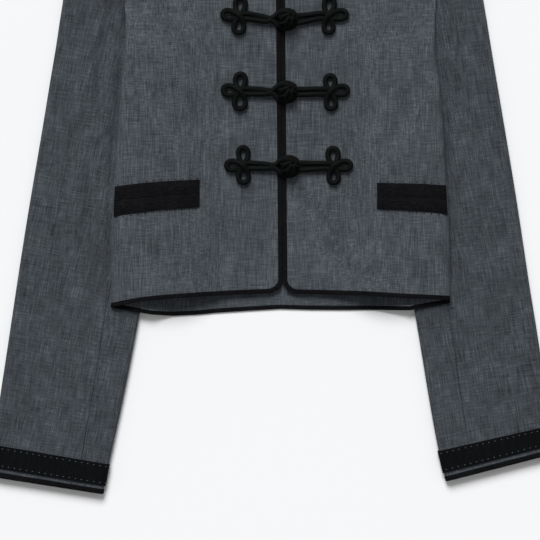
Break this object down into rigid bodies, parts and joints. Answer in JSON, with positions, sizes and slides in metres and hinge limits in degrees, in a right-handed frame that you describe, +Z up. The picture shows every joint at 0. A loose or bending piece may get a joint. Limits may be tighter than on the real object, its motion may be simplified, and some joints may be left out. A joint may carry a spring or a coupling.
{
  "type": "tang jacket",
  "caption": "Cropped melange wool jacket laid flat on its back: stand collar, black bindings, cord frogs, jetted pockets and banded cuffs.",
  "frame": {"origin": "middle of the jacket's outline on the surface that it lies on", "axes": "+X to the right for a viewer who faces the front, +Y from hem to collar, +Z up from the surface, out of the jacket's front"},
  "size_m": [0.6232, 0.6966, 0.0251],
  "materials": {
    "wool_cloth": "fine grey melange wool, dull",
    "black_binding": "black bias binding, dull",
    "ribbon_band": "black ribbed ribbon, slight sheen",
    "pocket_jet": "black woven jets, dull",
    "frog_cord": "black braided cord, slight sheen"
  },
  "bodies": {
    "root": {"back_panel": "wool_cloth", "front_left": "wool_cloth", "front_right": "wool_cloth", "sleeve_upper_left": "wool_cloth", "sleeve_under_left": "wool_cloth", "sleeve_upper_right": "wool_cloth", "sleeve_under_right": "wool_cloth", "collar": "wool_cloth", "binding_back_hem": "black_binding", "binding_front_left": "black_binding", "binding_front_right": "black_binding", "binding_collar": "black_binding", "cuff_binding_left": "black_binding", "cuff_binding_right": "black_binding", "cuff_band_left": "ribbon_band", "cuff_band_right": "ribbon_band", "pocket_lower_left": "pocket_jet", "pocket_upper_left": "pocket_jet", "pocket_lower_right": "pocket_jet", "pocket_upper_right": "pocket_jet", "frog_loop_top": "frog_cord", "frog_button_top": "frog_cord", "frog_loop_middle": "frog_cord", "frog_button_middle": "frog_cord", "frog_loop_bottom": "frog_cord", "frog_button_bottom": "frog_cord", "knot_top": "frog_cord", "knot_middle": "frog_cord", "knot_bottom": "frog_cord"}
  },
  "joints": []
}
